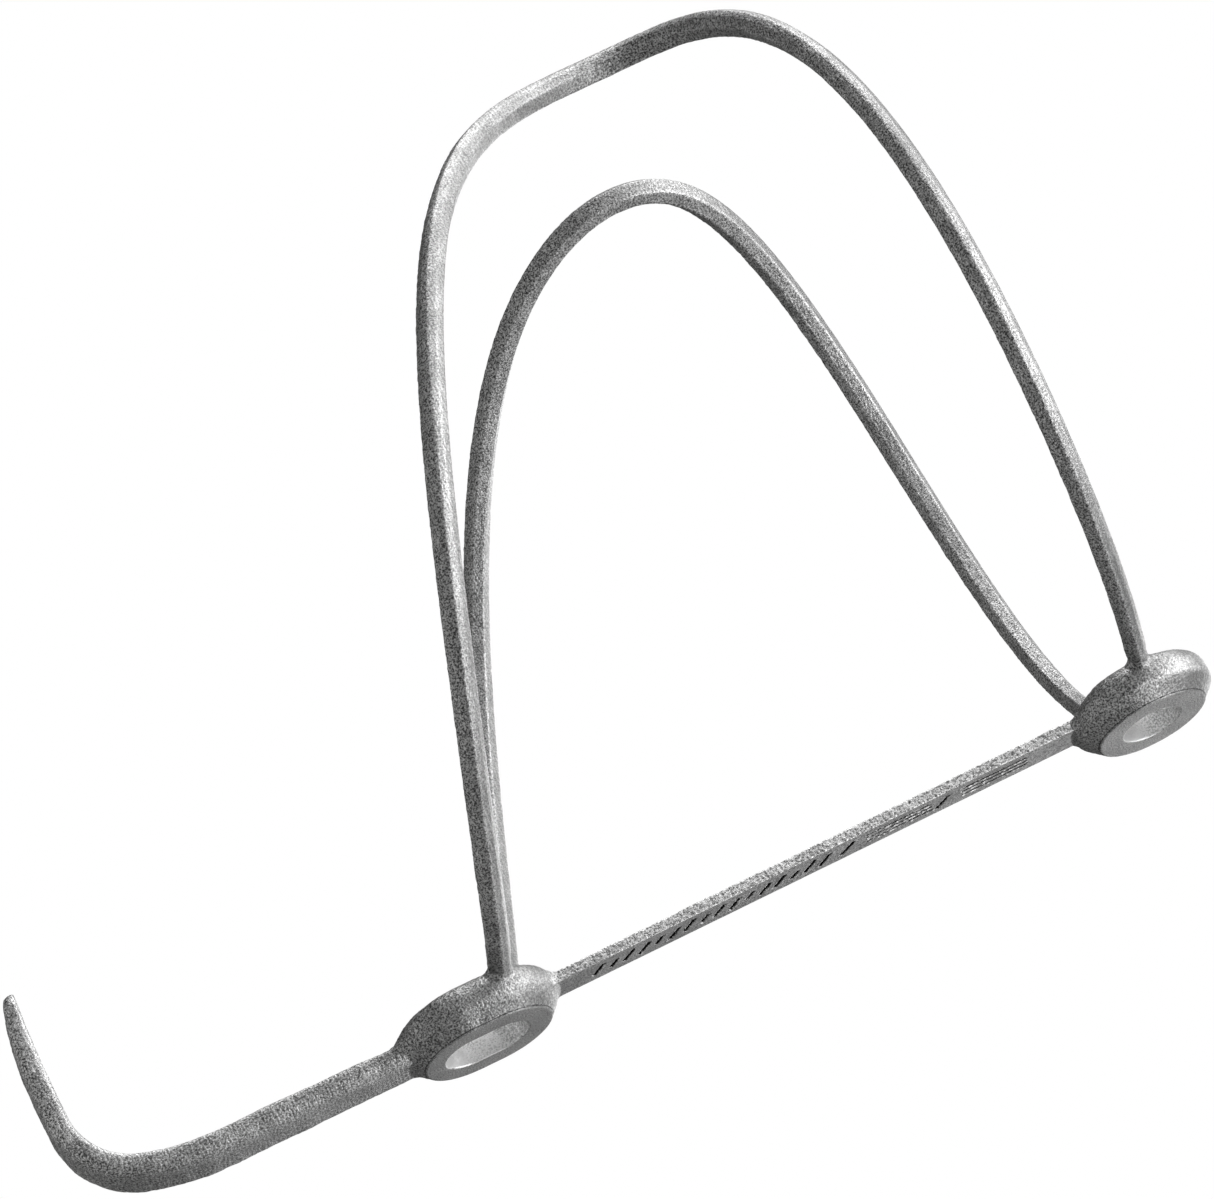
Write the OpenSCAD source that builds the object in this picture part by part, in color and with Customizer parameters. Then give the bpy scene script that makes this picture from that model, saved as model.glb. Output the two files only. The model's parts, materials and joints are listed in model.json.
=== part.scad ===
// Bicycle bottle cage, sintered in one piece from titanium powder.
// Origin: centre of the upper bolt hole, on the face that lies against the bicycle frame.
// +Z runs up along the spine bar, +Y points from the frame to the bottle. Millimetres.

/* [Mounting] */
// Distance between the upper bolt hole and the middle of the lower slot
bolt_spacing = 64; // [52:1:84]
// Diameter of the upper bolt hole and width of the lower slot
bolt_hole_d = 5.5; // [4.5:0.1:7]
// How far a bolt can slide in the lower slot
slot_travel = 2.4; // [1:0.2:4]
// Diameter of the flat ring that lies against the bicycle frame
foot_d = 10; // [8.6:0.2:11]
// Largest diameter of a boss
boss_d = 12.8; // [11.8:0.2:16]
// Height of a boss, from the frame to the bolt head
boss_h = 4.3; // [3.5:0.1:6]
// Diameter of the flat top of a boss, where the bolt head sits
head_seat_d = 9; // [8.6:0.2:11]
// How far the upper boss is stretched upwards from the hole's middle
upper_boss_up = 0.2; // [0.1:0.1:1]
// How far the lower boss is stretched upwards from the slot's middle
lower_boss_up = 1.2; // [0.8:0.1:2.5]
// How far the lower boss is stretched downwards from the slot's middle
lower_boss_down = 0.8; // [0.6:0.1:2.5]

/* [Spine bar] */
// Width of the bar between the bosses
bar_w = 3.8; // [3:0.2:5]
// Thickness of the bar
bar_t = 1; // [0.6:0.1:1.4]
// Gap between the bicycle frame and the bar
bar_standoff = 1.85; // [1:0.05:2.4]
// Radius of the fillets where the bar meets a boss
bar_fillet = 0.8; // [0.4:0.1:1.4]

/* [Bottle] */
// Diameter of the bottle space inside the relaxed wings
bottle_d = 69.4; // [56:0.2:84]
// Gap between the bottle space and the tops of the bosses
bottle_gap = 0.2; // [0:0.1:1]

/* [Wings] */
// Width of the wire at its lower root
wire_lower_w = 2.35; // [1.8:0.05:3]
// Width of the wire at the front of the bottle
wire_front_w = 2.55; // [2:0.05:3.2]
// Width of the wire at its upper root
wire_upper_w = 2.1; // [1.8:0.05:3]
// Depth of the wire, as a share of its width
wire_depth = 0.95; // [0.8:0.05:1.1]
// Height of the lower roots above the slot's middle
lower_root_rise = 3.5; // [2:0.1:4.5]
// Height of the upper roots above the upper hole
upper_root_rise = 0.5; // [-1:0.1:2]
// Distance from the side of a boss to where its wires begin
root_gap = 0.8; // [0.4:0.1:2]
// Angle round the bottle of the curve's furthest control point
reach_angle = 163; // [140:1:168]
// Diameter of a root where it sinks into its boss
root_d = 3.1; // [2.6:0.1:4]

/* [Bottle stop] */
// Width of the arm and the toe
stop_w = 6; // [4:0.2:7]
// Thickness of the arm
stop_t = 2.1; // [1.2:0.1:2.4]
// Gap between the bicycle frame and the arm
stop_standoff = 0.85; // [0.5:0.05:1.4]
// Distance from the slot's middle down to where the arm starts to bend
stop_straight = 24.2; // [18:0.2:34]
// Outer radius of the gentle first bend
easy_bend_r = 22; // [14:1:34]
// Turn of the gentle first bend
easy_bend_angle = 20; // [10:1:30]
// Outer radius of the tight second bend
tight_bend_r = 8; // [5:0.5:12]
// Height of the toe's tip above the bicycle frame
toe_h = 22.4; // [18:0.2:34]
// Thickness of the toe at its tip
toe_tip_t = 1.1; // [0.6:0.1:1.2]
// How far the toe's inner face leans towards the bottle at its tip
toe_lean = 0.6; // [0:0.1:0.8]
// Radius of the toe's two top corners
toe_corner_r = 1.6; // [0.8:0.1:2]
// Radius of the fillets where the arm meets the lower boss
stop_fillet = 1.4; // [0.6:0.1:2]

/* [Decoration] */
// Depth of the slanted ticks and long grooves on the back of the bar
groove_depth = 0.25; // [0.1:0.05:0.35]
// Width of a tick or groove
groove_w = 0.3; // [0.2:0.05:0.4]

/* [Hidden] */
$fn = 96;
cut = 1;                                  // how far a cutter runs past a face
metal = [0.56, 0.56, 0.55];

// Mounting
bolt_r = bolt_hole_d / 2;
foot_r = foot_d / 2;
boss_r = boss_d / 2;
head_seat_r = head_seat_d / 2;
flare_h = 1.1;                            // height of the cone above the flat ring
flare_lean = 0.3;                         // how far the cone's top stays inside the side
shoulder_h = 1.7;                         // height of the rounded shoulder
side_h = boss_h - shoulder_h;             // height at which a boss is widest
shoulder_steps = 6;
lower_z = -bolt_spacing;                  // middle of the lower slot

// Spine bar, between flat ends on short necks that belong to the bosses
neck_out = 0.9;                           // how far a neck runs past its boss
bar_top_z = -boss_r - neck_out;
bar_bottom_z = lower_z + lower_boss_up + boss_r + neck_out;

// Bottle stop
stop_neck_z = lower_z - lower_boss_down - boss_r - neck_out;
bend_z = lower_z - stop_straight;
edge_bevel = 0.2;                         // bevels of the arm's four long edges
back_crown = 0.08;                        // how far the arm's back bulges in its middle
toe_taper = 3.4;                          // how late the toe's back starts to thin
tight_bend_angle = 90 - easy_bend_angle;
easy_end_y = stop_standoff + easy_bend_r * (1 - cos(easy_bend_angle));
easy_end_z = bend_z - easy_bend_r * sin(easy_bend_angle);
toe_root_y = easy_end_y + tight_bend_r * cos(easy_bend_angle);
toe_back_z = easy_end_z - tight_bend_r * (1 - sin(easy_bend_angle));

// Wings: a curve wound round the bottle space, as [angle from the back, rise in shares]
bottle_r = bottle_d / 2;
bottle_y = boss_h + bottle_gap + bottle_r;
root_angle = asin((boss_r + root_gap) / bottle_r);
root_low_z = lower_z + lower_root_rise;
root_high_z = upper_root_rise;
WING = [
    [root_angle, 0], [41, 0.035], [93.5, 0.21], [reach_angle - 8.5, 0.525],
    [reach_angle, 0.83], [115, 0.975], [56.5, 0.98], [root_angle, 1]
];
wing_last = len(WING) - 1;
spans = wing_last + 2;                    // with both end points counted three times
span_steps = 12;
// Places of the rings along the curve; its first and last span are short and straight
RINGS = concat([0, 0.8], [for (i = [0 : (spans - 2) * span_steps]) 1 + i / span_steps],
    [spans - 0.8, spans]);
bow_first = 2 + 3 * span_steps;           // ring where the front bow starts
bow_last = bow_first + span_steps * 3 / 2;
// Section of the wire: half widths and depths, from the flat inner face to the ridge
SECTION = [
    [0, 1], [0.57, 0.87], [1, 0.54], [0.52, 0],
    [-0.52, 0], [-1, 0.54], [-0.57, 0.87]
];
front_place = (bow_first + bow_last) / 2; // ring where the wire is widest

function unit(v) = v / norm(v);
function ease(t) = (1 - cos(180 * t)) / 2;
function wing_control(i) = WING[max(0, min(wing_last, i))];
// Smooth curve through the control points, at place u from 0 to spans
function wing_place(u) =
    let (k = min(floor(u), spans - 1), t = u - k)
    wing_control(k - 2) * pow(1 - t, 3) / 6
    + wing_control(k - 1) * (3 * pow(t, 3) - 6 * t * t + 4) / 6
    + wing_control(k) * (-3 * pow(t, 3) + 3 * t * t + 3 * t + 1) / 6
    + wing_control(k + 1) * pow(t, 3) / 6;
function wing_height(share) = root_low_z + share * (root_high_z - root_low_z);
function outward(angle) = [sin(angle), -cos(angle), 0];
// Point of the wire's inner face
function wing_point(u) =
    let (p = wing_place(u))
    [0, bottle_y, wing_height(p[1])] + bottle_r * outward(p[0]);
function wing_tangent(u) =
    unit(wing_point(min(u + 0.01, spans)) - wing_point(max(u - 0.01, 0)));
function root_tangent(last) =
    last ? unit(wing_point(spans) - wing_point(spans - 0.5)) : unit(wing_point(0.5) - wing_point(0));
function ring_tangent(i) =
    i == 0 ? root_tangent(false) : i == len(RINGS) - 1 ? root_tangent(true) : wing_tangent(RINGS[i]);
function wire_w(i) =
    i < front_place
    ? wire_lower_w + (wire_front_w - wire_lower_w) * ease(i / front_place)
    : wire_front_w + (wire_upper_w - wire_front_w)
        * ease((i - front_place) / (len(RINGS) - 1 - front_place));
function wing_ring(i) =
    let (out = outward(wing_place(RINGS[i])[0]), across = cross(ring_tangent(i), out), w = wire_w(i))
    [for (s = SECTION)
        wing_point(RINGS[i]) + across * s[0] * w / 2 + out * s[1] * w * wire_depth];

// Closed tube of wire from ring a to ring b
module wire(a, b) {
    sides = len(SECTION);
    rings = b - a + 1;
    points = [for (i = [a : b]) each wing_ring(i)];
    function at(ring, side) = ring * sides + side % sides;
    walls = [for (r = [0 : rings - 2]) for (s = [0 : sides - 1]) each [
        [at(r, s), at(r + 1, s), at(r + 1, s + 1)],
        [at(r, s), at(r + 1, s + 1), at(r, s + 1)]
    ]];
    start_cap = [for (s = [0 : sides - 1]) at(0, s)];
    end_cap = [for (s = [sides - 1 : -1 : 0]) at(rings - 1, s)];
    polyhedron(points = points, faces = concat(walls, [start_cap, end_cap]));
}

// Half outline of a boss: flat foot, cone, side and rounded shoulder
function boss_outline() = concat(
    [[0, 0], [foot_r, 0], [boss_r - flare_lean, flare_h]],
    [for (i = [0 : shoulder_steps])
        let (a = 90 * i / shoulder_steps)
        [head_seat_r + (boss_r - head_seat_r) * cos(a), side_h + (boss_h - side_h) * sin(a)]],
    [[0, boss_h]]
);

// Solid boss, stretched along Z from -down to +up
module boss_blank(up, down) {
    for (z = [-down, up])
        translate([0, 0, z]) rotate([-90, 0, 0]) rotate_extrude() polygon(boss_outline());
    if (up + down > 0)
        translate([0, 0, -down]) linear_extrude(height = up + down) {
            polygon(boss_outline());
            mirror([1, 0]) polygon(boss_outline());
        }
}

// Round hole or slot along Y, from y = from to y = to
module slot_cut(r, up, down, from, to) {
    for (z = [-down, up])
        translate([0, from, z]) rotate([-90, 0, 0]) cylinder(r = r, h = to - from);
    if (up + down > 0)
        translate([-r, from, -down]) cube([2 * r, to - from, up + down]);
}

// Strip of width w that runs out of a boss's round end, with a fillet of radius r each side
module neck_outline(w, r) {
    fillet = [w / 2 + r, sqrt(pow(boss_r + r, 2) - pow(w / 2 + r, 2))];
    touch = fillet * boss_r / (boss_r + r);
    translate([-w / 2, 0]) square([w, boss_r + neck_out]);
    for (side = [0, 1])
        mirror([side, 0])
            difference() {
                polygon([[0, 0], [0, fillet[1]], fillet, touch]);
                translate(fillet) circle(r = r);
            }
}

// Neck between two heights above the bicycle frame, pointing up or down
module neck(w, r, y_low, y_high, down) {
    translate([0, y_high, 0]) rotate([90, 0, 0])
        linear_extrude(height = y_high - y_low)
            mirror([0, down ? 1 : 0]) neck_outline(w, r);
}

// Tapered root that carries the wire into a boss
module wing_root(last) {
    root_sink = 2.6;                      // how deep the root reaches into the boss
    root_fill = 0.96;                     // diameter at the wire, as a share of its width
    i = last ? len(RINGS) - 1 : 0;
    inward = root_tangent(last) * (last ? 1 : -1);
    w = wire_w(i);
    centre = wing_point(RINGS[i]) + outward(wing_place(RINGS[i])[0]) * w * wire_depth / 2;
    translate(centre)
        rotate([0, acos(inward[2]), atan2(inward[1], inward[0])])
            cylinder(d1 = w * root_fill, d2 = root_d, h = root_gap + root_sink);
}

module both_roots(last) {
    wing_root(last);
    mirror([1, 0, 0]) wing_root(last);
}

// Cut that keeps a bolt head's seat clear of the wing roots
module head_cut(up, down) {
    slot_cut(head_seat_r, up, down, boss_h, boss_h + root_d);
}

module bar_neck(down) {
    neck(bar_w, bar_fillet, bar_standoff, bar_standoff + bar_t, down);
}

module upper_mount_boss() color(metal) difference() {
    union() {
        boss_blank(upper_boss_up, 0);
        bar_neck(true);
        both_roots(true);
    }
    slot_cut(bolt_r, 0, 0, -cut, boss_h + cut);
    head_cut(upper_boss_up, 0);
}

module lower_mount_boss() color(metal) difference() {
    union() {
        translate([0, 0, lower_z]) {
            boss_blank(lower_boss_up, lower_boss_down);
            translate([0, 0, lower_boss_up]) bar_neck(false);
            translate([0, 0, -lower_boss_down])
                neck(stop_w, stop_fillet, stop_standoff, stop_standoff + stop_t, true);
        }
        both_roots(false);
    }
    translate([0, 0, lower_z]) {
        slot_cut(bolt_r, slot_travel / 2, slot_travel / 2, -cut, boss_h + cut);
        head_cut(lower_boss_up, lower_boss_down);
    }
}

// Row of slanted ticks and three long grooves on the back face of the bar
module bar_marks() {
    tick_step = 1.6;
    tick_slant = 30;
    tick_length = bar_w * 0.4;
    groove_step = bar_w * 0.22;
    marks_low = bar_bottom_z + 3;
    marks_high = bar_top_z - 4.5;
    groove_length = (marks_high - marks_low) * 0.36;
    ticks = floor((marks_high - marks_low) * 0.58 / tick_step);
    for (i = [0 : ticks - 1])
        translate([0, bar_standoff, marks_low + i * tick_step]) rotate([0, tick_slant, 0])
            cube([tick_length, 2 * groove_depth, groove_w], center = true);
    for (k = [-1 : 1])
        translate([k * groove_step, bar_standoff, marks_high - groove_length / 2])
            cube([groove_w, 2 * groove_depth, groove_length], center = true);
}

module spine_bar() color(metal) difference() {
    translate([-bar_w / 2, bar_standoff, bar_bottom_z])
        cube([bar_w, bar_t, bar_top_z - bar_bottom_z]);
    bar_marks();
}

// Section of the arm: [across, through], crowned at the back and bevelled along its edges
function stop_section() =
    let (half = stop_w / 2, rim = half - edge_bevel)
    [
        [-half, back_crown + edge_bevel], [-rim, back_crown], [0, 0], [rim, back_crown],
        [half, back_crown + edge_bevel], [half, stop_t - edge_bevel], [rim, stop_t],
        [-rim, stop_t], [-half, stop_t - edge_bevel]
    ];

// Bend of the stop's strip about an axis along X, from heading a to heading a + turn
module stop_bend_piece(r, a, turn) {
    rotate([0, 90, 0]) rotate([0, 0, a])
        rotate_extrude(angle = turn)
            polygon([for (p = stop_section()) [r - p[1], p[0]]]);
}

module stop_arm() color(metal) {
    translate([0, stop_standoff, bend_z])
        linear_extrude(height = stop_neck_z - bend_z) polygon(stop_section());
    translate([0, stop_standoff + easy_bend_r, bend_z])
        stop_bend_piece(easy_bend_r, -90, easy_bend_angle);
}

module stop_bend() color(metal)
    translate([0, toe_root_y, easy_end_z + tight_bend_r * sin(easy_bend_angle)])
        stop_bend_piece(tight_bend_r, -90 + easy_bend_angle, tight_bend_angle);

// Side view of the toe: [distance from its back plane, height], thinning towards the tip
function toe_side() =
    let (steps = 8, rise = toe_h - toe_root_y, tip_back = stop_t + toe_lean - toe_tip_t)
    concat(
        [for (i = [0 : steps]) let (s = i / steps) [tip_back * pow(s, toe_taper), rise * s]],
        [for (i = [steps : -1 : 0]) let (s = i / steps) [stop_t + toe_lean * s * s, rise * s]]
    );

// Front view of the toe: straight sides and two round corners
module toe_front() {
    rise = toe_h - toe_root_y;
    corner_x = stop_w / 2 - toe_corner_r;
    translate([-stop_w / 2, 0]) square([stop_w, rise - toe_corner_r]);
    translate([-corner_x, 0]) square([2 * corner_x, rise]);
    for (x = [-corner_x, corner_x])
        translate([x, rise - toe_corner_r]) circle(r = toe_corner_r);
}

module stop_toe() color(metal)
    translate([0, toe_root_y, toe_back_z])
        intersection() {
            translate([stop_w, 0, 0]) rotate([0, -90, 0])
                linear_extrude(height = 2 * stop_w) polygon(toe_side());
            translate([0, 0, -cut])
                linear_extrude(height = stop_t + toe_lean + 2 * cut) toe_front();
        }

module right_wing_lower_arm() color(metal) wire(0, bow_first);
module right_wing_front_bow() color(metal) wire(bow_first, bow_last);
module right_wing_upper_arm() color(metal) wire(bow_last, len(RINGS) - 1);
module left_wing_lower_arm() color(metal) mirror([1, 0, 0]) wire(0, bow_first);
module left_wing_front_bow() color(metal) mirror([1, 0, 0]) wire(bow_first, bow_last);
module left_wing_upper_arm() color(metal) mirror([1, 0, 0]) wire(bow_last, len(RINGS) - 1);

spine_bar();
upper_mount_boss();
lower_mount_boss();
right_wing_lower_arm();
right_wing_front_bow();
right_wing_upper_arm();
left_wing_lower_arm();
left_wing_front_bow();
left_wing_upper_arm();
stop_arm();
stop_bend();
stop_toe();
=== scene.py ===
import json
import math

import bpy
import numpy as np
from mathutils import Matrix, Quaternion, Vector


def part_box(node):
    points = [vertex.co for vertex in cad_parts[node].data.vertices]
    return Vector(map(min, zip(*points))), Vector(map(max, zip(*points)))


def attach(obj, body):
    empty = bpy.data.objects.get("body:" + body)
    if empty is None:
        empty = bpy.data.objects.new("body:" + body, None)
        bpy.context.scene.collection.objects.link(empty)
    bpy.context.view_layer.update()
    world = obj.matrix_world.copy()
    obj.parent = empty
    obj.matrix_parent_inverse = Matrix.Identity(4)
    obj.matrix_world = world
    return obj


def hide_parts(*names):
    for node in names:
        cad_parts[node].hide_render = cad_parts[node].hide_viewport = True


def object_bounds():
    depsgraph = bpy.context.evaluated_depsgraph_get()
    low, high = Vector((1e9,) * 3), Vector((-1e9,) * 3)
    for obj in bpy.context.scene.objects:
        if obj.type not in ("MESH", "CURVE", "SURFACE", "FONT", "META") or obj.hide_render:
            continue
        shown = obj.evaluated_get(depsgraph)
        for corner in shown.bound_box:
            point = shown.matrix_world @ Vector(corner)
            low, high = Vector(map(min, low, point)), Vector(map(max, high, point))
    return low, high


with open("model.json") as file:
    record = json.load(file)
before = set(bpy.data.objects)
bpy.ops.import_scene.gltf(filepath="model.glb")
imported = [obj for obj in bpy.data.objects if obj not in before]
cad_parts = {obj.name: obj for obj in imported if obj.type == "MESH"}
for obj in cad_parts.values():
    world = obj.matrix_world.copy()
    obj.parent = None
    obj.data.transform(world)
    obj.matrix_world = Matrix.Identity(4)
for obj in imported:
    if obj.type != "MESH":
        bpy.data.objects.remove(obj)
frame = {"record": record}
cad_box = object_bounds()

# ---- Camera and studio -------------------------------------------------------------------
# The cage hangs in a white studio over a pale floor. A long lens looks at its left wing from
# slightly below, rolled so that the bar climbs to the right. Square soft boxes stand round
# the cage, the strongest of them above it.
camera_aim = Vector((-0.010065, 0.028291, -0.038102))
camera_azimuth = -68.885
camera_elevation = -7.576
camera_roll = 64.527
camera_distance = 0.7732
camera_lens = 266.88
camera_film_w = 36

camera = bpy.data.objects.new("camera", bpy.data.cameras.new("camera"))
bpy.context.scene.collection.objects.link(camera)
bpy.context.scene.camera = camera
camera.data.sensor_width = camera_film_w
camera.data.lens = camera_lens
camera.data.clip_start = 0.01
turn = math.radians(camera_azimuth)
climb = math.radians(camera_elevation)
towards_camera = Vector((
    math.sin(turn) * math.cos(climb), -math.cos(turn) * math.cos(climb), math.sin(climb)
))
camera.location = camera_aim + towards_camera * camera_distance
camera.rotation_mode = "QUATERNION"
camera.rotation_quaternion = (
    (-towards_camera).to_track_quat("-Z", "Y")
    @ Quaternion((0, 0, 1), math.radians(camera_roll))
)

soft_box_size = 0.25
SOFT_BOXES = [                         # [name, place from the cage's middle, power]
    ("light_above", (0, 0, 0.4), 0.46),
    ("light_above_left", (-0.179, 0, 0.358), 0.6),
    ("light_above_front", (0, 0.283, 0.283), 0.41),
    ("light_above_left_back", (-0.231, -0.231, 0.231), 0.47),
    ("light_above_right", (0.34, 0, 0.2), 0.38),
    ("light_front", (0, 0.383, 0.115), 0.54),
    ("light_left_front", (-0.31, 0.23, 0.09), 0.25),
    ("light_back", (0, -0.383, 0.115), 0.22),
    ("light_back_right", (0.277, -0.277, 0.083), 0.14),
]
cage_middle = (cad_box[0] + cad_box[1]) / 2
for light_name, light_place, power in SOFT_BOXES:
    light = bpy.data.lights.new(light_name, "AREA")
    light.size = soft_box_size
    light.energy = power
    lamp = bpy.data.objects.new(light_name, light)
    lamp.location = cage_middle + Vector(light_place)
    lamp.rotation_mode = "QUATERNION"
    lamp.rotation_quaternion = (-Vector(light_place)).to_track_quat("-Z", "Y")
    bpy.context.scene.collection.objects.link(lamp)


def add(tree, kind, links=(), **settings):
    """Adds a shader node, links its inputs, and sets its other inputs and settings."""
    made = tree.nodes.new("ShaderNode" + kind)
    for key, value in settings.items():
        if hasattr(made, key):
            setattr(made, key, value)
        else:
            made.inputs[key.replace("_", " ")].default_value = value
    for key, socket in dict(links).items():
        tree.links.new(socket, made.inputs[key])
    return made


# The backdrop looks white, but only a dim grey of it reaches the metal.
white = (1, 1, 1, 1)
dim_grey = (0.1, 0.1, 0.1, 1)
world = bpy.data.worlds.new("white_studio")
bpy.context.scene.world = world
world.use_nodes = True
tree = world.node_tree
seen = tree.nodes["Background"]
seen.inputs["Color"].default_value = white
around = add(tree, "Background", Color=dim_grey)
seen_or_around = add(tree, "MixShader", {
    0: add(tree, "LightPath").outputs["Is Camera Ray"],
    1: around.outputs[0],
    2: seen.outputs[0],
})
tree.links.new(seen_or_around.outputs[0], tree.nodes["World Output"].inputs["Surface"])
bpy.context.scene.view_settings.view_transform = "Standard"

# The floor is pale paint with a glow that doesn't light the metal.
floor_drop = 0.25
floor_reach = 3.0
floor_z = cad_box[0].z - floor_drop
floor_colour = (0.82, 0.82, 0.81, 1)
floor_roughness = 0.9
floor_glow = (0.6, 0.6, 0.6, 1)
floor_mesh = bpy.data.meshes.new("floor")
floor_mesh.from_pydata(
    [(x * floor_reach, y * floor_reach, floor_z) for x, y in ((-1, -1), (1, -1), (1, 1), (-1, 1))],
    [], [(0, 1, 2, 3)],
)
floor = bpy.data.objects.new("floor", floor_mesh)
bpy.context.scene.collection.objects.link(floor)
floor_paint = bpy.data.materials.new("pale_floor")
floor_paint.use_nodes = True
tree = floor_paint.node_tree
paint = tree.nodes["Principled BSDF"]
paint.inputs["Base Color"].default_value = floor_colour
paint.inputs["Roughness"].default_value = floor_roughness
floor_seen = add(tree, "LightPath").outputs["Is Camera Ray"]
glow = add(tree, "Emission", {"Strength": floor_seen}, Color=floor_glow)
glowing_paint = add(tree, "AddShader", {0: paint.outputs[0], 1: glow.outputs[0]})
tree.links.new(glowing_paint.outputs[0], tree.nodes["Material Output"].inputs["Surface"])
floor_mesh.materials.append(floor_paint)

# ---- Upper boss --------------------------------------------------------------------------
# Thick ring of sintered titanium that the upper bolt clamps, grown in one with the cage. It
# has a flat foot, a cone and a rounded shoulder, and small fillets lead from it into the
# wings and the bar. The powder leaves a granular skin; the foot and the bore are smoother.
MM = 0.001                             # the sizes below are millimetres
mounts = {mount["name"]: mount for mount in frame["record"]["mounts"]}
bolt_r = mounts["upper_bolt_hole"]["dims"]["r_mm"]
boss_h = mounts["upper_bolt_hole"]["dims"]["length_mm"]
upper_up = 0.2                         # how far the ring is stretched upwards
boss_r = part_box("upper_mount_boss")[1].z / MM - upper_up
foot_r = 5.0
seat_r = 4.5
flare_h = 1.1
flare_run = 1.1
shoulder_h = 1.7
crease_r = 0.1
upper_chamfer = 0.8                    # 0 is a round lower shoulder, 1 a straight one
upper_softening = 0.15                 # what the crease's radius gains towards the top
hole_edge_r = 0.12
foot_edge_r = 0.05


def round_union(a, b, radius):
    """Joins two distances with a concave fillet."""
    return np.maximum(radius, np.minimum(a, b)) - np.hypot(
        np.maximum(radius - a, 0), np.maximum(radius - b, 0)
    )


def round_overlap(a, b, radius):
    """Keeps what is inside both distances, with a rounded edge."""
    return np.minimum(-radius, np.maximum(a, b)) + np.hypot(
        np.maximum(radius + a, 0), np.maximum(radius + b, 0)
    )


def smooth_step(value):
    """Runs from 0 to 1 as the value does, and is level at both ends."""
    value = np.clip(value, 0, 1)
    return value * value * (3 - 2 * value)


def boss_solid(x, y, z, up, down, chamfer, softening):
    """Distance to a boss round the Y axis, stretched along Z, its shoulder cut flatter below."""
    out = np.hypot(x, z - np.clip(z, -down, up))
    across = np.maximum(out - seat_r, 0) / (boss_r - seat_r)
    rise = np.maximum(y - boss_h + shoulder_h, 0) / shoulder_h
    power = 2 - chamfer * smooth_step(-z / boss_r)
    crown = ((across**power + rise**power + 1e-9) ** (1 / power) - 1) * shoulder_h
    cone = ((out - foot_r) * flare_h - y * flare_run) / math.hypot(flare_h, flare_run)
    crease = crease_r + softening * smooth_step(z / boss_r + 0.5)
    return round_overlap(crown, cone, crease)


def slot_space(x, z, radius, travel):
    """Distance outwards from a round-ended slot along Y."""
    return np.hypot(x, z - np.clip(z, -travel / 2, travel / 2)) - radius


def cut_boss(solid, y, seat, hole):
    """Cuts a boss's bolt seat, flat foot and bolt hole, and rounds their edges."""
    solid = round_overlap(solid, np.minimum(-seat, y - boss_h), hole_edge_r)
    solid = round_overlap(solid, -y, foot_edge_r)
    return round_overlap(solid, -hole, hole_edge_r)


# The bar's end grows out of the boss. The bar leans a little from its lower to its upper end.
bar_half = 1.9
bar_low, bar_high = 1.85, 2.85
bar_lean_low, bar_lean_high = -0.1, 0.16
bar_stub_l = 1.4
bar_fillet = 0.7
stub_inset = 0.04                      # stubs are this much slimmer, so that they don't show


def bar_stub(x, y, z, lean, z_low, z_high):
    """Distance to the straight end of the bar that a boss carries."""
    low = bar_low + lean + stub_inset
    high = bar_high + lean - stub_inset
    half = bar_half - stub_inset
    return np.maximum.reduce([np.abs(x) - half, low - y, y - high, z_low - z, z - z_high])


def section_distance(across, through, corners, inset, rounding):
    """Distance to a convex section given by its corners, shrunk a little, its edges rounded."""
    inside = None
    for (b0, n0), (b1, n1) in zip(corners, corners[1:] + corners[:1]):
        length = math.hypot(b1 - b0, n1 - n0)
        side = ((across - b0) * (n0 - n1) + (through - n0) * (b1 - b0)) / length + inset
        inside = side if inside is None else round_overlap(inside, side, rounding)
    return inside


# The wires' path round the bottle, because their roots grow out of the bosses too.
bottle_y = mounts["bottle_seat"]["pos_m"][1] / MM
bottle_gap = 0.2
bottle_r = bottle_y - boss_h - bottle_gap
lower_z = mounts["lower_bolt_slot"]["pos_m"][2] / MM
root_low_z = lower_z + 3.5
root_high_z = 0.5
root_gap = 0.8
root_angle = math.degrees(math.asin((boss_r + root_gap) / bottle_r))
reach_angle = 163
front_lean = 8.5
WING = np.array([                      # [angle from the back, share of the rise]
    [root_angle, 0], [41, 0.035], [93.5, 0.21], [reach_angle - front_lean, 0.525],
    [reach_angle, 0.83], [115, 0.975], [56.5, 0.98], [root_angle, 1],
])
spans = len(WING) + 1
wire_lower_w = 2.35
wire_front_w = 2.55
wire_upper_w = 2.1
wire_depth = 0.95                      # share of the width
# The wire's section: [share of its half width, share of its depth], the inner face at 0
SECTION = [(0, 1), (0.57, 0.87), (1, 0.54), (0.52, 0), (-0.52, 0), (-1, 0.54), (-0.57, 0.87)]
root_in, root_out = 2.6, 1.1           # how far a root runs into its boss and out of it
root_edge_r = 0.06
upper_root_fillet = 0.55


def wing_line(u):
    """Points of the wire's inner face at places u, and the directions out of the bottle."""
    k = np.minimum(np.floor(u).astype(int), spans - 1)
    t = (u - k)[:, None]
    at = [WING[np.clip(k + i, 0, len(WING) - 1)] for i in (-2, -1, 0, 1)]
    spot = (
        at[0] * (1 - t) ** 3 + at[1] * (3 * t**3 - 6 * t**2 + 4)
        + at[2] * (-3 * t**3 + 3 * t**2 + 3 * t + 1) + at[3] * t**3
    ) / 6
    angle = np.radians(spot[:, 0])
    out = np.stack([np.sin(angle), -np.cos(angle), np.zeros(len(u))], 1)
    height = root_low_z + spot[:, 1] * (root_high_z - root_low_z)
    centre = np.stack([np.zeros(len(u)), np.full(len(u), bottle_y), height], 1)
    return centre + bottle_r * out, out


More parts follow.
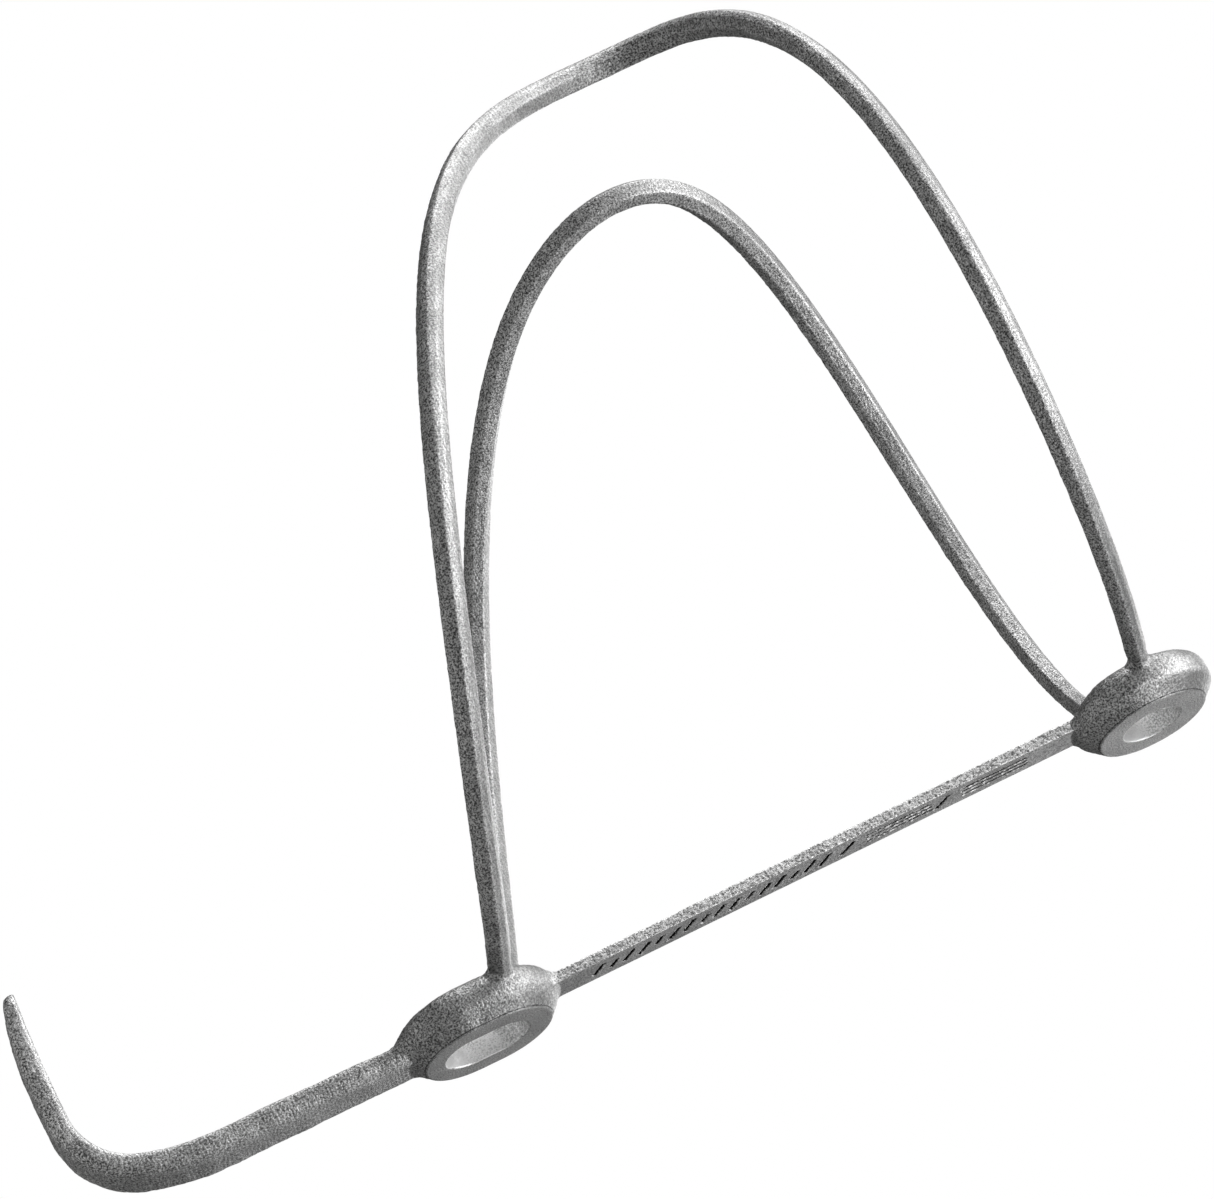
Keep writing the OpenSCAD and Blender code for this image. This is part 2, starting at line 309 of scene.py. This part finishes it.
def root_frame(last):
    """Origin, way into the boss, width axis and outward axis where a wire meets its boss."""
    ends = np.array([spans - 0.5, spans] if last else [0.5, 0.0])
    points, out = wing_line(ends)
    inward = (points[1] - points[0]) / np.linalg.norm(points[1] - points[0])
    out = out[1] - inward * (out[1] @ inward)
    out /= np.linalg.norm(out)
    return points[1], inward, np.cross(inward, out), out


def root_stub(x, y, z, last):
    """Distance to both wires' roots: straight stretches with the wire's own section."""
    origin, inward, wide, out = root_frame(last)
    width = wire_upper_w if last else wire_lower_w
    gap = np.stack([np.abs(x) - origin[0], y - origin[1], z - origin[2]], 1)
    across, through, along = gap @ wide, gap @ out, gap @ inward
    corners = [(b * width / 2, n * width * wire_depth) for b, n in SECTION]
    wire = section_distance(across, through, corners, stub_inset, root_edge_r)
    return np.maximum.reduce([wire, along - root_gap - root_in, -along - root_out])


# The granular skin: soft lumps with grains of powder on them.
lump_size, lump_h = 2.4, 0.018
grain_size, grain_h = 0.5, 0.013
skin_sink = 0.038                      # keeps the highest grains inside the CAD
calm_side, calm_up = 0.75, 0.35        # strength on upright faces, and what facing up takes off
wave_spread = (0.7, 1.4)


def waves(size, seed, count=40):
    """Smooth random height of about unit strength, from waves of about one size."""
    random = np.random.default_rng(seed)
    ways = random.normal(size=(count, 3))
    ways /= np.linalg.norm(ways, axis=1)[:, None]
    ways *= random.uniform(*wave_spread, (count, 1)) * 2 * math.pi / size
    phase = random.uniform(0, 2 * math.pi, count)
    return lambda points: np.cos(points @ ways.T + phase).sum(1) * math.sqrt(2 / count)


lumps = waves(lump_size, 1)
grains = waves(grain_size, 2)


def powder_height(points, normals, lumpy=1.0):
    """Height of the granular skin, kept inside the CAD. Faces that looked up are calmer."""
    calm = calm_side - calm_up * normals[:, 2]
    return calm * (lump_h * lumpy * lumps(points) + grain_h * grains(points)) - skin_sink


def skin(distance, low, high, cell):
    """Points, their normals and quads on the surface where distance(x, y, z) is zero."""
    probe = cell * 0.2
    stride = cell * 0.5
    settling_rounds = 4
    axes = [np.arange(a, b + cell, cell) for a, b in zip(low, high)]
    inside = distance(*[g.ravel() for g in np.meshgrid(*axes, indexing="ij")]) < 0
    inside = inside.reshape([len(a) for a in axes])
    halves = (slice(None, -1), slice(1, None))
    corners = [inside[i, j, k] for i in halves for j in halves for k in halves]
    mixed = np.any(corners, axis=0) & ~np.all(corners, axis=0)
    number = np.zeros(mixed.shape, int)
    number[mixed] = np.arange(mixed.sum())
    points = np.array(low) + cell * (np.argwhere(mixed) + 0.5)

    def slope(at):
        sides = [distance(*(at + probe * axis).T) - distance(*(at - probe * axis).T)
                 for axis in np.eye(3)]
        return np.stack(sides, 1) / (2 * probe)

    for _ in range(settling_rounds):
        way = slope(points)
        steep = (way**2).sum(1) + 1e-6
        move = way * (distance(*points.T) / steep)[:, None]
        far = np.linalg.norm(move, axis=1)[:, None]
        points = points - move * np.minimum(1, stride / (far + 1e-12))
    way = slope(points)
    normals = way / (np.linalg.norm(way, axis=1)[:, None] + 1e-9)
    quads = []
    for a in range(3):
        b, c = (a + 1) % 3, (a + 2) % 3
        near, far = [slice(1, -1)] * 3, [slice(1, -1)] * 3
        near[a], far[a] = slice(None, -1), slice(1, None)
        change = np.argwhere(inside[tuple(near)] != inside[tuple(far)])
        change[:, [b, c]] += 1
        ring = []
        for db, dc in ((-1, -1), (0, -1), (0, 0), (-1, 0)):
            cell_at = change.copy()
            cell_at[:, b] += db
            cell_at[:, c] += dc
            ring.append(number[tuple(cell_at.T)])
        ring = np.stack(ring, 1)
        outwards = inside[tuple(change.T)]
        ring[~outwards] = ring[~outwards][:, ::-1]
        quads.append(ring)
    return points, normals, np.concatenate(quads)


def piece(name, points, faces, *metals):
    """Smooth-shaded mesh piece from points in millimetres."""
    mesh = bpy.data.meshes.new(name)
    mesh.from_pydata((points * MM).tolist(), [], [list(face) for face in faces])
    mesh.shade_smooth()
    for metal in metals:
        mesh.materials.append(metal)
    made = bpy.data.objects.new(name, mesh)
    bpy.context.scene.collection.objects.link(made)
    return made


def give_metals(made, kinds, faces):
    """Gives each face the lowest metal number that its corners ask for."""
    lowest = kinds[faces].min(axis=1).astype(np.int32)
    made.data.polygons.foreach_set("material_index", lowest)


def remap(tree, value, low, high, to_low, to_high):
    """Stretches a value from one span to another, and levels it off at both ends."""
    made = add(tree, "MapRange", {"Value": value}, interpolation_type="SMOOTHSTEP")
    made.inputs["From Min"].default_value = low
    made.inputs["From Max"].default_value = high
    made.inputs["To Min"].default_value = to_low
    made.inputs["To Max"].default_value = to_high
    return made.outputs[0]


def sintered(name, tone, speckle, bump, layers, roughness, grain=0.00016):
    """Bare titanium as it leaves the powder: a speckle of grains, soft clouds, build layers
    stacked along Z, painted highlights on edges and painted shade in creases. Faces that looked
    down are rougher and painted darker as shade, faces that looked up painted lighter as light.
    The depth of the bump and the size of a grain are in metres."""
    cloud_scale = 380.0
    layer_scale = 850.0
    layer_wander = 6.0
    gloss_swing = 0.12
    metal_share = 0.9
    metal = bpy.data.materials.new(name)
    metal.use_nodes = True
    tree = metal.node_tree
    shader = tree.nodes["Principled BSDF"]
    at = add(tree, "TexCoord").outputs["Object"]
    fine = add(tree, "TexNoise", {"Vector": at}, Scale=1 / grain, Detail=2.0, Roughness=0.6)
    cloud = add(tree, "TexNoise", {"Vector": at}, Scale=cloud_scale, Detail=2.0)
    layer = add(tree, "TexWave", {"Vector": at}, bands_direction="Z", Scale=layer_scale,
                Distortion=layer_wander, Detail=2.0)
    geometry = add(tree, "NewGeometry")
    upward = add(tree, "SeparateXYZ", {0: geometry.outputs["Normal"]}).outputs["Z"]
    dots = remap(tree, fine.outputs[0], 0.34, 0.66, -1, 1)
    strength = remap(tree, upward, -0.5, 0.6, speckle, 0.4 * speckle)
    speckled = add(tree, "Math", {0: dots, 1: strength}, operation="MULTIPLY_ADD")
    speckled.inputs[2].default_value = 1.0
    # Painted shade and light by facing: faces that look down are painted darker, faces that look
    # up lighter.
    painted_shade_by_facing = remap(tree, upward, -0.85, 0.5, 0.58, 1.15)
    clouded = remap(tree, cloud.outputs[0], 0.3, 0.7, 0.88, 1.1)
    layered = remap(tree, layer.outputs[1], 0.0, 1.0, 1 - layers, 1 + layers)
    # Painted highlight on sharp edges and painted shade in creases, read from the mesh's
    # pointiness.
    painted_edge_light_crease_shade = remap(tree, geometry.outputs["Pointiness"], 0.44, 0.56, 0.82, 1.2)
    shade = speckled.outputs[0]
    for part in (painted_shade_by_facing, clouded, layered, painted_edge_light_crease_shade):
        shade = add(tree, "Math", {0: shade, 1: part}, operation="MULTIPLY").outputs[0]
    colour = add(tree, "Math", {0: shade}, operation="MULTIPLY")
    colour.inputs[1].default_value = tone
    tree.links.new(colour.outputs[0], shader.inputs["Base Color"])
    gloss = remap(
        tree, fine.outputs[0], 0.2, 0.8, roughness + gloss_swing, roughness - gloss_swing
    )
    tree.links.new(gloss, shader.inputs["Roughness"])
    height = add(tree, "Math", {0: layer.outputs[1], 2: fine.outputs[0]},
                 operation="MULTIPLY_ADD")
    height.inputs[1].default_value = layers
    relief = add(tree, "Bump", {"Height": height.outputs[0]}, Strength=1.0, Distance=bump)
    tree.links.new(relief.outputs[0], shader.inputs["Normal"])
    shader.inputs["Metallic"].default_value = metal_share
    return metal


powder_skin = sintered(
    "powder_skin", tone=0.4, speckle=0.8, bump=0.00006, layers=0.08, roughness=0.46
)
smooth_skin = sintered(
    "smooth_skin", tone=0.37, speckle=0.6, bump=0.00002, layers=0.04, roughness=0.5,
    grain=0.00015,
)
bore_skin = sintered(
    "bore_skin", tone=0.95, speckle=0.4, bump=0.00003, layers=0.0, roughness=0.42
)
# A near-black copy of the metal: a painted shade line along the crease just above the flat foot.
foot_rim_painted_shade = sintered(
    "foot_rim_painted_shade", tone=0.1, speckle=0.5, bump=0.00003, layers=0.0, roughness=0.55
)


def upper_boss(x, y, z):
    """Distance to the upper boss with its stubs of bar and wires."""
    ring = boss_solid(x, y, z, upper_up, 0, upper_chamfer, upper_softening)
    bar = bar_stub(x, y, z, bar_lean_high, -boss_r - bar_stub_l, 0)
    whole = round_union(ring, bar, bar_fillet)
    whole = round_union(whole, root_stub(x, y, z, True), upper_root_fillet)
    return cut_boss(whole, y, slot_space(x, z, seat_r, 0), slot_space(x, z, bolt_r, 0))


# Where the skin is smooth metal, and how high the painted shade line round the foot reaches
foot_zone = 0.06
bore_zone = 0.12
seat_zone = 0.05
painted_shade_rim_zone = 0.2
bore_metal_zone = 0.1
smooth_relief = 0.2                    # share of the grains' height that smooth metal keeps
boss_cell = 0.11


def boss_piece(name, distance, low, high, centre_z, travel):
    """Skin of a boss with its granular relief, and smooth metal on its foot, seat and bore."""
    points, normals, quads = skin(distance, low, high, boss_cell)
    x, y, z = points.T
    from_bore = slot_space(x, z - centre_z, bolt_r, travel)
    on_seat = (y > boss_h - seat_zone) & (from_bore < seat_r - bolt_r)
    smooth = (y < foot_zone) | (from_bore < bore_zone) | on_seat
    relief = (np.where(smooth, smooth_relief, 1) * powder_height(points, normals))[:, None]
    made = piece(name, points + normals * relief, quads,
                 powder_skin, smooth_skin, bore_skin, foot_rim_painted_shade)
    # Faces just above the foot, outside the smooth metal, get the painted shade line.
    kinds = np.where(smooth, 1, np.where(y < painted_shade_rim_zone, 3, 0))
    give_metals(made, np.where(from_bore < bore_metal_zone, 2, kinds), quads)
    return made


# The block of space in which each boss is worked out
block_side = boss_r + root_gap + 1.6
block_gap = 0.3
block_top = 6.0
upper_block_gap = 0.6
upper_piece = boss_piece(
    "upper_boss", upper_boss,
    (-block_side, -block_gap, -boss_r - bar_stub_l - block_gap),
    (block_side, block_top, boss_r + upper_block_gap), 0, 0,
)
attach(upper_piece, "root")
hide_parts("upper_mount_boss")

# ---- Lower boss --------------------------------------------------------------------------
# The same ring of sintered titanium, stretched along the bar, with a slot that lets the lower
# bolt slide. It is grown in one with the cage, and the flat arm of the bottle stop flows out
# of it through larger fillets.
lower_up, lower_down = 1.2, 0.8
lower_softening = 0.5
lower_root_fillet = 0.6
slot_travel = 2.4
arm_half = (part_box("stop_arm")[1].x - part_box("stop_arm")[0].x) / MM / 2
arm_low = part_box("stop_arm")[0].y / MM
arm_t = 1.85
arm_stub_l = 2.0
arm_edge_r = 0.1
arm_fillet = 0.5                       # at the back, where the arm meets the flat foot
arm_fillet_gain = 0.9                  # what the fillet gains towards the bottle
arm_fillet_y = 1.2                     # where it starts to gain, and how far that takes
# The arm's section: [share of its half width, share of its thickness], the back at 0
STRIP = [
    (-0.9, 1), (0.9, 1), (1, 0.86), (1, 0.36), (0.87, 0.1), (0.6, 0),
    (-0.6, 0), (-0.87, 0.1), (-1, 0.36), (-1, 0.86),
]


def lower_boss(x, y, z):
    """Distance to the lower boss with its stubs of bar, wires and arm."""
    roots = root_stub(x, y, z, False)
    z = z - lower_z
    ring = boss_solid(x, y, z, lower_up, lower_down, 0, lower_softening)
    bar = bar_stub(x, y, z, bar_lean_low, 0, lower_up + boss_r + bar_stub_l)
    corners = [(share * arm_half, part * arm_t) for share, part in STRIP]
    arm = section_distance(x, y - arm_low, corners, 2 * stub_inset, arm_edge_r)
    arm = np.maximum.reduce([arm, -lower_down - boss_r - arm_stub_l - z, z])
    gain = smooth_step((y - arm_fillet_y) / arm_fillet_y)
    whole = round_union(ring, bar, bar_fillet)
    whole = round_union(whole, arm, arm_fillet + arm_fillet_gain * gain)
    whole = round_union(whole, roots, lower_root_fillet)
    seat_z = z - (lower_up - lower_down) / 2
    seat = slot_space(x, seat_z, seat_r, lower_up + lower_down)
    return cut_boss(whole, y, seat, slot_space(x, z, bolt_r, slot_travel))


lower_piece = boss_piece(
    "lower_boss", lower_boss,
    (-block_side, -block_gap, lower_z - lower_down - boss_r - arm_stub_l - block_gap),
    (block_side, block_top, lower_z + lower_up + boss_r + bar_stub_l + block_gap),
    lower_z, slot_travel,
)
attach(lower_piece, "root")
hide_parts("lower_mount_boss")

# ---- Spine bar ---------------------------------------------------------------------------
# Slim flat strip of sintered titanium, grown in one with both bosses. Its back is smooth and
# has shallow plain marks cut into it: slanted ticks on the lower part, bundles of long
# grooves on the upper part, all with bright burrs along their rims.
bar_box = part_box("spine_bar")
bar_bottom, bar_top = bar_box[0].z / MM, bar_box[1].z / MM
bar_into_boss = 1.6
bar_cell = 0.1
bar_side_edge_r = 0.12
bar_end_edge_r = 0.1
# A lighter copy of the same metal: painted light on the bar's side faces.
bar_side_painted_light = sintered(
    "bar_side_painted_light", tone=0.8, speckle=0.9, bump=0.00006, layers=0.1, roughness=0.42,
    grain=0.00018,
)
burr_skin = sintered(
    "burr_skin", tone=0.9, speckle=0.3, bump=0.00004, layers=0.0, roughness=0.4
)
groove_skin = sintered(
    "groove_skin", tone=0.05, speckle=0.3, bump=0.00003, layers=0.0, roughness=0.6,
    grain=0.0002,
)

mark_depth = 0.34
mark_edge_r = 0.04
marks_from, marks_to = bar_bottom + 3, bar_top - 4
ticks_share = 0.58                     # of the marks' length
ticks_end = marks_from + (marks_to - marks_from) * ticks_share
tick_step = 1.45
tick_half, tick_cut = 1.05, 0.35       # half a tick, and what each third one lacks
tick_half_w = 0.19
tick_slant, divider_slant = -32, -36
tick_shift = 0.1
divider_half = 1.1
bundles = 2
bundle_gap = 1.6
bundle_room = 2
groove_rows = (-0.8, -0.1, 0.6)
groove_half_w = 0.12
groove_start, groove_trim = 1.2, 0.7
MARKS = []                             # [x, z, half length, slant in degrees, half width]
for number in range(int((ticks_end - marks_from) / tick_step)):
    MARKS.append((
        tick_shift if number % 2 else -tick_shift, marks_from + number * tick_step,
        tick_half - tick_cut if number % 3 == 1 else tick_half, tick_slant, tick_half_w,
    ))
groove_length = (marks_to - ticks_end - bundle_room) / bundles
for bundle in range(bundles):
    start = ticks_end + bundle * (groove_length + bundle_gap)
    MARKS.append((0, start, divider_half, divider_slant, tick_half_w))
    for row in groove_rows:
        MARKS.append((row, start + groove_start + groove_length / 2,
                      groove_length / 2 - groove_trim, 90, groove_half_w))


def mark_distance(x, z):
    """Distance to the nearest mark on the bar's back, below zero inside it."""
    nearest = np.full(x.shape, np.inf)
    for mark_x, mark_z, half, slant, half_w in MARKS:
        angle = math.radians(slant)
        along = (x - mark_x) * math.cos(angle) + (z - mark_z) * math.sin(angle)
        over = np.abs((z - mark_z) * math.cos(angle) - (x - mark_x) * math.sin(angle))
        nearest = np.minimum(nearest, np.maximum(np.abs(along) - half, over - half_w))
    return nearest


def bar_solid(x, y, z):
    """Distance to the leaning bar, its ends inside the bosses, with its marks cut out."""
    share = (z - bar_bottom) / (bar_top - bar_bottom)
    y = y - bar_lean_low - (bar_lean_high - bar_lean_low) * share
    sides = round_overlap(
        np.abs(x) - bar_half, np.maximum(bar_low - y, y - bar_high), bar_side_edge_r
    )
    ends = np.maximum(bar_bottom - bar_into_boss - z, z - bar_top - bar_into_boss)
    cut = np.maximum(mark_distance(x, z), y - bar_low - mark_depth)
    return round_overlap(round_overlap(sides, ends, bar_end_edge_r), -cut, mark_edge_r)


block_x, block_y, block_z = 0.25, 0.45, 0.3
bar_points, bar_normals, bar_quads = skin(
    bar_solid, (-bar_half - block_x, bar_low - block_y, bar_bottom - bar_into_boss - block_z),
    (bar_half + block_x, bar_high + block_y, bar_top + bar_into_boss + block_z), bar_cell,
)
facing = 0.7                           # how squarely a face of the bar looks back or front
back_relief = 0.15
burr_h = 0.045
burr_at, burr_w = 0.12, 0.08
burr_level = 0.1
on_back = bar_normals[:, 1] < -facing
on_front = bar_normals[:, 1] > facing
from_mark = mark_distance(bar_points[:, 0], bar_points[:, 2])
burred = grains(bar_points) > burr_level
burr = burr_h * np.exp(-(((from_mark - burr_at) / burr_w) ** 2)) * burred
bar_relief = powder_height(bar_points, bar_normals)
bar_relief = np.where(on_back, back_relief * bar_relief + burr, bar_relief)
bar_piece = piece(
    "spine_bar_skin", bar_points + bar_normals * bar_relief[:, None], bar_quads,
    bar_side_painted_light, smooth_skin, powder_skin, burr_skin, groove_skin,
)
mark_zone, burr_zone = 0.03, 0.2
near_back = bar_points[:, 1] < (bar_low + bar_high) / 2
# Side faces get the painted light, the back the smooth metal, the front the powder skin.
bar_kinds = np.where(on_back, 1, np.where(on_front, 2, 0))
bar_kinds[near_back & burred & (from_mark < burr_zone)] = 3
bar_kinds[near_back & (from_mark < mark_zone)] = 4
give_metals(bar_piece, bar_kinds, bar_quads)
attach(bar_piece, "root")
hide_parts("spine_bar")

# ---- Wings -------------------------------------------------------------------------------
# Springy wires of sintered titanium wound round the bottle, one each side, grown in one with
# both bosses. Their section is a seven-sided bar: flat against the bottle, with a low ridge
# outside. Build layers run across them as fine lines.
ring_step = 0.28
wire_sides = 36
wire_edge_r = 0.07
wire_lumps = 0.5                       # wires are less lumpy than the bosses
wire_into_boss = 1.7
wire_end_shrink = 0.12
bow_from, bow_to = 4.0, 5.5            # places of the front bow's two ends
widest_at = 4.75
wire_skin = sintered(
    "wire_skin", tone=0.4, speckle=0.85, bump=0.00006, layers=0.1, roughness=0.46
)


def soft_outline(corners, wide, thick, rounding, count):
    """Evenly spaced points round a section in shares of its size, its corners rounded off."""
    path = np.array(corners + corners[:1]) * (wide, thick)
    lengths = np.r_[0, np.cumsum(np.linalg.norm(np.diff(path, axis=0), axis=1))]
    fineness = 20
    many = fineness * count
    at = np.linspace(0, lengths[-1], many, endpoint=False)
    outline = np.stack([np.interp(at, lengths, path[:, i]) for i in (0, 1)], 1)
    spread = rounding / lengths[-1] * many
    offset = np.arange(-math.ceil(3 * spread), math.ceil(3 * spread) + 1)
    weight = np.exp(-0.5 * (offset / spread) ** 2)
    weight /= weight.sum()
    outline = sum(w * np.roll(outline, s, axis=0) for w, s in zip(weight, offset))
    return outline[::fineness] / (wide, thick)


def tube_normals(rings):
    """Normals of a tube, worked out over its whole length so that its cuts don't show."""
    along = np.gradient(rings, axis=0)
    around = np.roll(rings, -1, axis=1) - np.roll(rings, 1, axis=1)
    normals = np.cross(around, along)
    return normals / np.linalg.norm(normals, axis=2)[:, :, None]


def raise_skin(rings, height_at):
    """A tube with a relief on its skin, its rings ordered so that its normals point out."""
    normals = tube_normals(rings)
    if ((rings - rings.mean(axis=1)[:, None]) * normals).sum() < 0:
        rings = rings[:, ::-1]
        normals = tube_normals(rings)
    height = height_at(rings.reshape(-1, 3), normals.reshape(-1, 3))
    rings = rings + normals * height.reshape(len(rings), -1)[:, :, None]
    return rings, tube_normals(rings)


def tube_piece(name, rings, normals, metal):
    """One stretch of a tube: quads from ring to ring, and one many-sided face at each end."""
    count, sides = rings.shape[:2]
    rows = np.arange(count - 1)[:, None] * sides
    first = rows + np.arange(sides)
    second = rows + (np.arange(sides) + 1) % sides
    quads = np.stack([first, second, second + sides, first + sides], -1).reshape(-1, 4)
    start_face = list(range(sides))[::-1]
    end_face = list(range((count - 1) * sides, count * sides))
    made = piece(name, rings.reshape(-1, 3), quads.tolist() + [start_face, end_face], metal)
    made.data.normals_split_custom_set_from_vertices(normals.reshape(-1, 3).tolist())
    return made


# Rings at even steps along the wire, with one exactly at each end of the front bow
dense_u = np.linspace(0, spans, 4000)
dense_line = wing_line(dense_u)[0]
run = np.r_[0, np.cumsum(np.linalg.norm(np.diff(dense_line, axis=0), axis=1))]
cuts = np.interp([bow_from, bow_to], dense_u, run)
steps = [0]
for start, end in zip([0, *cuts], [*cuts, run[-1]]):
    steps += list(np.linspace(start, end, max(2, round((end - start) / ring_step)))[1:])
steps = np.array(steps)
wire_u = np.interp(steps, run, dense_u)
wire_line, outward = wing_line(wire_u)
tangent = np.gradient(wire_line, axis=0)
tangent /= np.linalg.norm(tangent, axis=1)[:, None]
wide = np.cross(tangent, outward)
ease = np.where(
    wire_u < widest_at, wire_u / widest_at, (wire_u - widest_at) / (spans - widest_at)
)
ease = (1 - np.cos(math.pi * ease)) / 2
wire_w = np.where(
    wire_u < widest_at, wire_lower_w + (wire_front_w - wire_lower_w) * ease,
    wire_front_w + (wire_upper_w - wire_front_w) * ease,
)
outline = soft_outline(
    SECTION, wire_front_w / 2, wire_front_w * wire_depth, wire_edge_r, wire_sides
) * (0.5, wire_depth)
wire_rings = (
    wire_line[:, None] + wide[:, None] * (outline[:, 0] * wire_w[:, None])[:, :, None]
    + outward[:, None] * (outline[:, 1] * wire_w[:, None])[:, :, None]
)
# Both ends run straight on into the bosses and thin out there
depths = np.arange(1, 1 + round(wire_into_boss / ring_step)) * ring_step
for last in (False, True):
    inward = root_frame(last)[1]
    end_ring = wire_rings[-1 if last else 0]
    centre = end_ring.mean(axis=0)
    extra = np.array([
        centre + (end_ring - centre) * (1 - wire_end_shrink * d / wire_into_boss) + inward * d
        for d in depths
    ])
    wire_rings = np.concatenate([wire_rings, extra] if last else [extra[::-1], wire_rings])
first_cut, second_cut = [len(depths) + int(np.argmin(np.abs(steps - cut))) for cut in cuts]


def wire_height(points, normals):
    """Height of the wires' skin."""
    return powder_height(points, normals, wire_lumps)


for side, mirror in (("right", 1), ("left", -1)):
    rings, normals = raise_skin(wire_rings * (mirror, 1, 1), wire_height)
    for part, begin, end in (
        ("lower_arm", 0, first_cut), ("front_bow", first_cut, second_cut),
        ("upper_arm", second_cut, len(rings) - 1),
    ):
        stretch = slice(begin, end + 1)
        wire = tube_piece(f"{side}_wire_{part}", rings[stretch], normals[stretch], wire_skin)
        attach(wire, "root")
        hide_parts(f"{side}_wing_{part}")

# ---- Bottle stop -------------------------------------------------------------------------
# Flat strip of sintered titanium that runs down from the lower boss and bends round to a toe,
# which carries the bottle's base. It is grown in one with the boss. Its edges are bevelled
# towards the back, and the toe thins to a round tip.
toe_back_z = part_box("stop_bend")[0].z / MM
toe_root_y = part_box("stop_bend")[1].y / MM
toe_top_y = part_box("stop_toe")[1].y / MM
bend_z = lower_z - 24.2
easy_r, easy_turn = 22.0, 20.0
tight_r = 8.0
strip_into_boss = 2.5
strip_start_z = lower_z - lower_down - boss_r + strip_into_boss
strip_sides = 64
strip_step = 0.3
strip_edge_r = 0.16
bend_t = 2.1
toe_tip_t = 1.05
toe_lean = 0.6
toe_taper = 3.2
toe_corner_r = 1.7
toe_rings = 64
toe_reach = 0.997                      # leaves the tip's last ring just inside the CAD
tip_r = 0.45
strip_skin = sintered(
    "strip_skin", tone=0.5, speckle=0.9, bump=0.00007, layers=0.14, roughness=0.46
)

# The line of the strip's back: [y, z, angle of the way towards its front]
upright = math.pi / 2
easy_end_z = bend_z - easy_r * math.sin(math.radians(easy_turn))
tight_z = easy_end_z + tight_r * math.sin(math.radians(easy_turn))
back_line = [(arm_low, z, 0.0) for z in np.arange(strip_start_z, bend_z, -strip_step)]
for degrees in np.arange(0, easy_turn, math.degrees(strip_step / easy_r)):
    angle = math.radians(degrees)
    y = arm_low + easy_r * (1 - math.cos(angle))
    back_line.append((y, bend_z - easy_r * math.sin(angle), angle))
arm_end = len(back_line)
tight_rings = round(math.radians(90 - easy_turn) * tight_r / strip_step)
for angle in np.radians(np.linspace(easy_turn, 90, tight_rings)):
    y = toe_root_y - tight_r * math.cos(angle)
    back_line.append((y, tight_z - tight_r * math.sin(angle), angle))
bend_end = len(back_line) - 1
for share in np.sin(np.linspace(0, upright, toe_rings)[1:]):
    y = toe_root_y + (toe_top_y - toe_root_y) * share * toe_reach
    back_line.append((y, toe_back_z, upright))

strip_outline = soft_outline(STRIP, arm_half, bend_t, strip_edge_r, strip_sides)
strip_rings = []
for y, z, angle in back_line:
    down = np.clip((strip_start_z - z) / (strip_start_z - bend_z), 0, 1)
    thick = arm_t + (bend_t - arm_t) * smooth_step(down)
    half = arm_half
    lift = 0.0
    if angle == upright:
        share = max(0.0, (y - toe_root_y) / (toe_top_y - toe_root_y))
        lift = (bend_t + toe_lean - toe_tip_t) * share**toe_taper
        thick = bend_t + toe_lean * share * share - lift
        left = toe_top_y - y
        if left < toe_corner_r:
            half -= toe_corner_r - math.sqrt(toe_corner_r**2 - (toe_corner_r - left) ** 2)
            pinch = max(0.0, tip_r - left)
            thin = tip_r - math.sqrt(max(0, tip_r**2 - pinch**2))
            lift += thin
            thick -= 2 * thin
    through = lift + strip_outline[:, 1] * thick
    strip_rings.append(np.stack([
        strip_outline[:, 0] * half, y + through * math.cos(angle), z + through * math.sin(angle)
    ], 1))
strip_rings = np.array(strip_rings)

# The strip is a little wavy along the arm and the bend, but not at the toe
sway_size, sway_h = 7.0, 0.04
sway_from, sway_run = 2, 6
sway = waves(sway_size, 3)


def strip_height(points, normals):
    """Height of the strip's skin."""
    along = smooth_step((points[:, 2] - toe_back_z - sway_from) / sway_run)
    return powder_height(points, normals) + sway_h * (sway(points) - 1) * along


strip_rings, strip_normals = raise_skin(strip_rings, strip_height)
for name, node, begin, end in (
    ("stop_arm_strip", "stop_arm", 0, arm_end),
    ("stop_bend_strip", "stop_bend", arm_end, bend_end),
    ("stop_toe_tip", "stop_toe", bend_end, len(strip_rings) - 1),
):
    stretch = slice(begin, end + 1)
    strip = tube_piece(name, strip_rings[stretch], strip_normals[stretch], strip_skin)
    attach(strip, "root")
    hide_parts(node)
